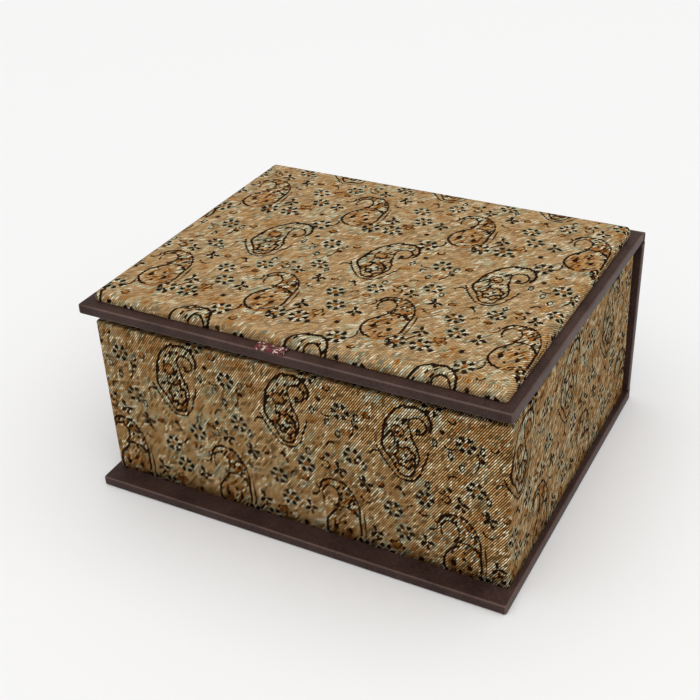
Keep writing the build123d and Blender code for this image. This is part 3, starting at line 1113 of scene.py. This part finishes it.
@dataclass
class Tray:
    """The tray: brocade outside and over the rim, satin inside, a padded satin floor."""

    corner: float = 1.4
    cloth: float = 0.5
    wall: float = 3.0
    rim_roll: float = 0.7
    turn_in: float = 12.0
    lining: float = 0.5
    lining_gap: float = 0.55
    lining_corner: float = 0.6
    lining_height: float = 68.0

    def brocade(self, cloth: Material) -> None:
        """Makes the brocade: up the outside, over the rim, down the inside, and back by its thickness.

        Args:
            cloth: the brocade's finish.
        """
        low, high, half, middle_y = room("tray_brocade")
        top, bottom, roll = high[2], low[2] + GLUE, self.rim_roll
        band = self.wall + 2 * self.cloth
        inside, under = top - self.turn_in, top - self.cloth
        turn = np.radians(np.linspace(0, 90, 6))
        over = np.stack([roll * (1 - np.cos(turn)), top - roll * (1 - np.sin(turn))], -1)
        rises = np.linspace(bottom, top - roll, 12)[:-1]
        outside_run = np.column_stack([np.zeros(len(rises)), rises])
        back_over = np.column_stack([band - over[::-1, 0], over[::-1, 1]])
        home = [[band, inside], [band - self.cloth, inside], [band - self.cloth, under], [self.cloth, under]]
        section = np.concatenate([outside_run, over, back_over, home, [[self.cloth, bottom]]])
        place = Placement(origin=(0, middle_y, 0))
        wrap = Wrap("tray_brocade_wrap", place, half[0], half[1], self.corner, section)
        self.wrapped(wrap, cloth, "brocade", "tray_brocade")

    def wall_lining(self, satin: Material) -> None:
        """Makes the satin on card round the inside of the walls, with a rolled top edge.

        Args:
            satin: the lining's finish.
        """
        low, _, half, middle_y = room("tray_wall_lining")
        outer, inner, top, bottom = self.lining_gap, 0.5 + self.lining, self.lining_height, low[2] + GLUE
        turn = np.radians(np.linspace(0, 180, 9))
        thick = (inner - outer) / 2
        edge = np.stack([outer + thick * (1 - np.cos(turn)), top - thick + thick * np.sin(turn)], -1)
        section = np.concatenate([[[outer, bottom]], edge, [[inner, bottom]]])
        place = Placement(origin=(0, middle_y, 0))
        wrap = Wrap("tray_satin_walls", place, half[0], half[1], self.lining_corner, section)
        self.wrapped(wrap, satin, "satin", "tray_wall_lining")

    def wrapped(self, wrap: Wrap, material: Material, slot: str, node_name: str) -> None:
        """Builds a wrap, dresses it for the base and works out its cloth's flat size, which goes unused."""
        piece = wrap.build()
        dress(piece, material, "base", slot, node_name)
        wrap.cut()

    def floor_pad(self, satin: Material) -> None:
        """Makes the padded panel on the tray's floor.

        Args:
            satin: the panel's finish.
        """
        low, _, half, middle_y = room("tray_floor_pad")
        crown = 0.5
        piece = Pad(
            name="tray_floor_cushion",
            placement=Placement(origin=(0, middle_y, low[2] + GLUE)),
            middle=(0, 0),
            half_x=half[0],
            half_y=half[1],
            height=half[2] * 2 - crown,
            crown=crown,
            corner=2.4,
            roll=1.5,
            pull_in=0.3,
        ).build()
        dress(piece, satin, "base", "satin", "tray_floor_pad")


@dataclass
class Lid:
    """What the lid carries: the brocade pad outside, the satin panel inside and the pull tab."""

    sizes: Sizes
    pad_x: tuple[float, float] = (-85.5, 85.8)
    pad_y: tuple[float, float] = (-145.0, -6.0)
    pad_height: float = 5.1
    pad_crown: float = 0.6
    board: float = 4.2
    lining_x: float = 80.9
    lining_y: tuple[float, float] = (-137.4, -15.6)
    tab_width: float = 12.0
    tab_centre: float = -3.5
    tab_thickness: float = 0.4

    def pad(self, cloth: Material) -> None:
        """Makes the padded panel in brocade.

        Args:
            cloth: the brocade's finish.
        """
        piece = Pad(
            name="lid_brocade_pad",
            placement=self.sizes.lid(),
            middle=(sum(self.pad_x) / 2, sum(self.pad_y) / 2),
            half_x=(self.pad_x[1] - self.pad_x[0]) / 2,
            half_y=(self.pad_y[1] - self.pad_y[0]) / 2,
            height=self.pad_height - self.pad_crown,
            crown=self.pad_crown,
            corner=1.8,
            roll=2.6,
            pull_in=0.35,
        ).build()
        dress(piece, cloth, "lid", "brocade", "pad_brocade", "pad_foam")

    def lining(self, satin: Material) -> None:
        """Makes the satin panel on the lid's inner face.

        Args:
            satin: the panel's finish.
        """
        piece = Pad(
            name="lid_satin_panel",
            placement=self.sizes.lid_underside(self.board + GLUE),
            middle=(0, sum(self.lining_y) / 2),
            half_x=self.lining_x,
            half_y=(self.lining_y[1] - self.lining_y[0]) / 2,
            height=1.35,
            crown=0.15,
            corner=2.4,
            roll=0.6,
            tuck=0.2,
        ).build()
        dress(piece, satin, "lid", "satin", "lid_lining_satin", "lid_lining_card")

    def tab(self, ribbon: Material) -> None:
        """Makes the ribbon: a tail under the pad, a loop past the front edge, and back below.

        Args:
            ribbon: the ribbon's finish.
        """
        turn = np.radians(np.linspace(90, -90, 9))
        loop = np.stack([-(149.75 + 0.3 * np.cos(turn)), 0.54 + 0.3 * np.sin(turn)], -1)
        tail = [[-138.2, 0.22], [-142.0, 0.22], [-144.9, 0.24], [-146.2, 0.8], [-148.5, 0.86]]
        path = np.concatenate([tail, loop, [[-148.8, 0.24], [-147.6, 0.24]]])
        edges = (self.tab_centre - self.tab_width / 2, self.tab_centre + self.tab_width / 2)
        piece = strap("pull_tab_ribbon", self.sizes.lid(), path, self.tab_thickness, edges)
        dress(piece, ribbon, "lid", "ribbon", "pull_tab")


@dataclass
class Case:
    """The leatherette case: three boards under one cover, and the folds beside the spine."""

    sizes: Sizes
    lift: float = 0.02
    bend: float = 0.5

    def covers(self, leather: Material, board: Material) -> None:
        """Gives the CAD nodes that stay their finishes.

        Only the spine board's two long edges ever show, where the cover's own leather lines
        the joint, so that board is finished as leatherette.

        Args:
            leather: the cover's finish.
            board: the bare boards' finish.
        """
        walls = (f"tray_{side}_wall" for side in ("front", "back", "left", "right"))
        finishes = {
            leather: ("base_cover", "lid_cover", "spine_cover", "spine_lining", "spine_board"),
            board: ("base_board", "lid_board", "tray_floor_board", "pad_card", *walls),
        }
        for material, names in finishes.items():
            for name in names:
                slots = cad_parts[name].data.materials
                slots.clear()
                slots.append(material)

    def lower_path(self) -> np.ndarray:
        """The lower fold's middle line: along the base's top, round the bend, up the spine."""
        half, bend = self.sizes.cover / 2, self.bend
        turn = np.radians(np.linspace(0, 90, 7))[1:]
        along = np.column_stack([np.linspace(73.2, 74.2, 3), np.full(3, half + self.lift)])
        round_bend = np.column_stack(
            [74.2 + bend * np.sin(turn), half + self.lift + bend * (1 - np.cos(turn))]
        )
        heights = np.linspace(1.4, self.sizes.fold_strip_height, 5)
        lean = self.sizes.spine_back_shift / self.sizes.lid_back_height
        rise = np.column_stack([self.sizes.back_fold - half + heights * lean, heights])
        return np.concatenate([along, round_bend, rise])

    def upper_path(self) -> np.ndarray:
        """The upper fold's middle line: up the spine, over its corner, along the lid."""
        length, half = self.sizes.spine_length(), self.sizes.cover / 2
        top = np.array([[-half, length - self.sizes.fold_strip_height], [-half, length - 1.6]])
        over = np.array([[-0.9, -half - self.lift], [-1.9, -half - self.lift]])
        points, lid_points = (
            plane.put(np.column_stack([np.zeros(2), ends]))[:, 1:]
            for plane, ends in ((self.sizes.spine(), top), (self.sizes.lid(), over))
        )
        corner = (points[1] + lid_points[0]) / 2 + 0.12
        path = np.concatenate([points, [corner], lid_points])
        share = run_length(path, closed=False)
        fine = np.linspace(0, share[-1], 17)
        return np.column_stack([np.interp(fine, share, path[:, axis]) for axis in (0, 1)])

    def fold(self, side: Side, leather: Material) -> None:
        """Makes one stretch of cover from a board's edge round the fold to the spine.

        Args:
            side: which of the two folds.
            leather: the cover's finish.
        """
        end = self.sizes.half_width
        if side is Side.LOWER:
            path, edges, bodies = self.lower_path(), (-end, end - 0.5), ("base", "spine")
        else:
            path, edges, bodies = self.upper_path(), (-end - 0.8, end - 0.8), ("spine", "lid")
        piece = strap(f"{side.value}_cover_fold", Placement(), path, self.sizes.cover, edges)
        piece.data.materials.append(leather)
        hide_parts(f"{side.value}_fold_strip")
        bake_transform(piece)
        log.info("%s blends %s and %s", piece.name, *bodies)


@dataclass(frozen=True)
class Studio:
    """A white table under soft light, and the camera that took the picture."""

    place: tuple[float, float, float] = (0.204607, -0.384083, 0.328357)
    azimuth: float = 30.77
    elevation: float = 31.92
    roll: float = -3.97
    focal_pixels: float = 1248.3
    picture: float = 700.0
    centre: tuple[float, float] = (320.0, 330.0)
    sensor: float = 36.0
    table_reach: float = 6.0
    sky: float = 0.46
    toward_light: tuple[float, float, float] = (0.2, -0.14, 1.0)
    light_spread: float = 95.0
    light_power: float = 2.12

    def camera(self) -> None:
        """Sets the camera: back is the view's own axis, and roll turns right and up about it."""
        turn, tilt, roll = (math.radians(a) for a in (self.azimuth, self.elevation, self.roll))
        back = Vector((math.sin(turn) * math.cos(tilt), -math.cos(turn) * math.cos(tilt), math.sin(tilt)))
        right = Vector((math.cos(turn), math.sin(turn), 0))
        up = back.cross(right)
        across = math.cos(roll) * right + math.sin(roll) * up
        above = -math.sin(roll) * right + math.cos(roll) * up
        data = bpy.data.cameras.new("camera")
        data.sensor_width = self.sensor
        data.lens = self.focal_pixels / self.picture * self.sensor
        data.shift_x = (self.picture / 2 - self.centre[0]) / self.picture
        data.shift_y = (self.centre[1] - self.picture / 2) / self.picture
        camera = add("camera", data)
        facing = Matrix((across, above, back)).transposed().to_4x4()
        camera.matrix_world = Matrix.Translation(self.place) @ facing
        bpy.context.scene.camera = camera

    def light(self) -> None:
        """Adds a wide, even light from above, as a diffuser of that spread gives it."""
        data = bpy.data.lights.new("ceiling_diffuser", "SUN")
        data.angle = math.radians(self.light_spread)
        data.energy = self.light_power
        lamp = add("ceiling_diffuser", data)
        lamp.rotation_euler = (-Vector(self.toward_light)).to_track_quat("-Z", "Y").to_euler()

    def table(self) -> None:
        """A pale table that reaches 6 m each way. A low view shows the sky past its edge."""
        mesh = bpy.data.meshes.new("table")
        reach = self.table_reach
        corners = [(x * reach, y * reach, 0) for x, y in ((-1, -1), (1, -1), (1, 1), (-1, 1))]
        mesh.from_pydata(corners, [], [(0, 1, 2, 3)])
        material, tree = new_material("table_painted_white")
        principled("#f2f2f2", None, tree, Roughness=0.6)
        mesh.materials.append(material)
        add("table", mesh)

    def build(self) -> None:
        """Sets the table, the light, the sky and the camera."""
        self.table()
        world = bpy.data.worlds.new("studio")
        world.use_nodes = True
        background = world.node_tree.nodes["Background"]
        background.inputs[0].default_value = linear("#f7f6f5")
        background.inputs[1].default_value = self.sky
        bpy.context.scene.world = world
        self.light()
        bpy.context.scene.view_settings.view_transform = "Standard"
        self.camera()


def main() -> None:
    """Builds and dresses the sub-assemblies in order, then sets the studio."""
    logging.basicConfig(level=logging.INFO, format="%(name)s %(message)s")
    sizes = Sizes()
    leather = Leatherette().build()
    satin = Satin().build()
    # The same brocade twice, as lit and shaded copies. The walls get fully dark painted furrows and uneven
    # yarns. The lid gets lighter painted furrows and yarns evened toward the middle colour, for the top light
    # on it.
    walls = PaisleyBrocade(
        "brocade_jacquard_walls",
        shift=(-4.4, 54.3),
        painted_furrow_shade=1.0,
        furrow_width=0.45,
        evenness=0.0,
        pull=(1.0, 0.0),
    )
    panel = PaisleyBrocade(
        "brocade_jacquard_lid",
        shift=(6.0, -78.0),
        painted_furrow_shade=0.68,
        furrow_width=0.44,
        evenness=0.4,
        pull=(1.4, 3.8),
    )

    case = Case(sizes)
    case.covers(leather, Greyboard().build())
    case.fold(Side.LOWER, leather)
    case.fold(Side.UPPER, leather)

    tray = Tray()
    tray.brocade(walls.build())
    tray.wall_lining(satin)
    tray.floor_pad(satin)

    lid = Lid(sizes)
    lid.pad(panel.build())
    lid.lining(satin)
    lid.tab(FloralRibbon().build())

    Studio().build()


if __name__ == "__main__":
    main()
